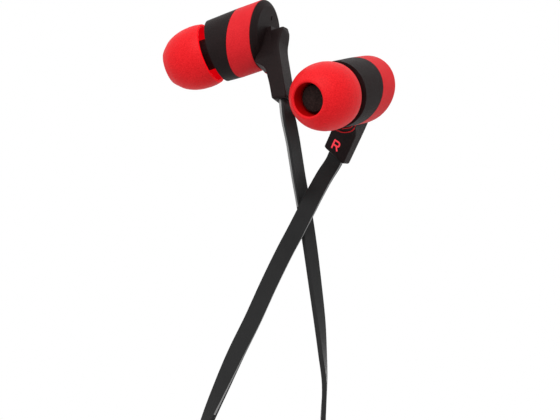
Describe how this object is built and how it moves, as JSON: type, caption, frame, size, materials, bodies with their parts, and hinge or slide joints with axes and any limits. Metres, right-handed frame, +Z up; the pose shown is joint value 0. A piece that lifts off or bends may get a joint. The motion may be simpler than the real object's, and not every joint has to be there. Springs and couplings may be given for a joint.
{
  "type": "wired earphones",
  "caption": "Wired in-ear earphones with pull-off silicone eartips, angled drum housings on slim stems, flat cables, a Y splitter and an angled jack plug.",
  "frame": {"origin": "on the table, under the middle of the two buds together", "axes": "+X the long side of the two buds' box, to the right as pictured; +Z up from the table; -Y towards the cables"},
  "size_m": [0.048, 0.1809, 0.0277],
  "materials": {
    "red_silicone": "satin",
    "red_plastic": "fine matte",
    "black_plastic": "fine matte",
    "black_cable": "matte",
    "grey_felt": "felt",
    "steel": "plain",
    "nickel": "plated",
    "gold": "gold plated",
    "copper": "enamelled wire",
    "clear_film": "thin film",
    "circuit_board": "solder mask",
    "red_enamel": "enamel",
    "green_enamel": "enamel",
    "white_plastic": "moulded"
  },
  "bodies": {
    "earphones": {"left_front_housing": "black_plastic", "left_accent_band": "red_plastic", "left_nozzle_filter": "grey_felt", "left_rear_housing": "black_plastic", "left_stem_cover": "black_plastic", "left_vent_mesh": "steel", "left_driver_front_plate": "nickel", "left_driver_pole_plate": "steel", "left_driver_magnet": "nickel", "left_driver_yoke": "steel", "left_driver_basket": "white_plastic", "left_terminal_board": "circuit_board", "left_lead_hot": "red_enamel", "left_lead_return": "green_enamel", "left_cable_anchor": "black_cable", "left_cord_run": "black_cable", "left_cord_coil": "black_cable", "right_front_housing": "black_plastic", "right_accent_band": "red_plastic", "right_nozzle_filter": "grey_felt", "right_rear_housing": "black_plastic", "right_stem_cover": "black_plastic", "right_vent_mesh": "steel", "right_driver_front_plate": "nickel", "right_driver_pole_plate": "steel", "right_driver_magnet": "nickel", "right_driver_yoke": "steel", "right_driver_basket": "white_plastic", "right_terminal_board": "circuit_board", "right_lead_hot": "red_enamel", "right_lead_return": "green_enamel", "right_cable_anchor": "black_cable", "right_cord_run": "black_cable", "right_cord_coil": "black_cable", "main_cord_coil": "black_cable", "splitter_inner_shell": "black_plastic", "splitter_outer_shell": "black_plastic", "splitter_core": "white_plastic", "cord_tie": "black_plastic", "plug_housing": "black_plastic", "plug_boot": "black_plastic", "plug_sleeve": "gold", "plug_ring": "gold", "plug_tip": "gold", "plug_rear_insulator": "black_plastic", "plug_front_insulator": "black_plastic"},
    "left_tip": {"left_eartip": "red_silicone"},
    "right_tip": {"right_eartip": "red_silicone"},
    "left_cone": {"left_diaphragm": "clear_film", "left_voice_coil": "copper"},
    "right_cone": {"right_diaphragm": "clear_film", "right_voice_coil": "copper"}
  },
  "joints": [
    {"name": "left_eartip_pull", "type": "slide", "parent": "earphones", "child": "left_tip", "axis": [-0.9109, -0.2733, -0.309], "range_m": [0, 0.0085]},
    {"name": "left_diaphragm_travel", "type": "slide", "parent": "earphones", "child": "left_cone", "axis": [-0.9109, -0.2733, -0.309], "range_m": [-0.00015, 0.00015], "stiffness_N_per_m": 40},
    {"name": "right_eartip_pull", "type": "slide", "parent": "earphones", "child": "right_tip", "axis": [-0.5454, -0.173, 0.8202], "range_m": [0, 0.0085]},
    {"name": "right_diaphragm_travel", "type": "slide", "parent": "earphones", "child": "right_cone", "axis": [-0.5454, -0.173, 0.8202], "range_m": [-0.00015, 0.00015], "stiffness_N_per_m": 40}
  ]
}
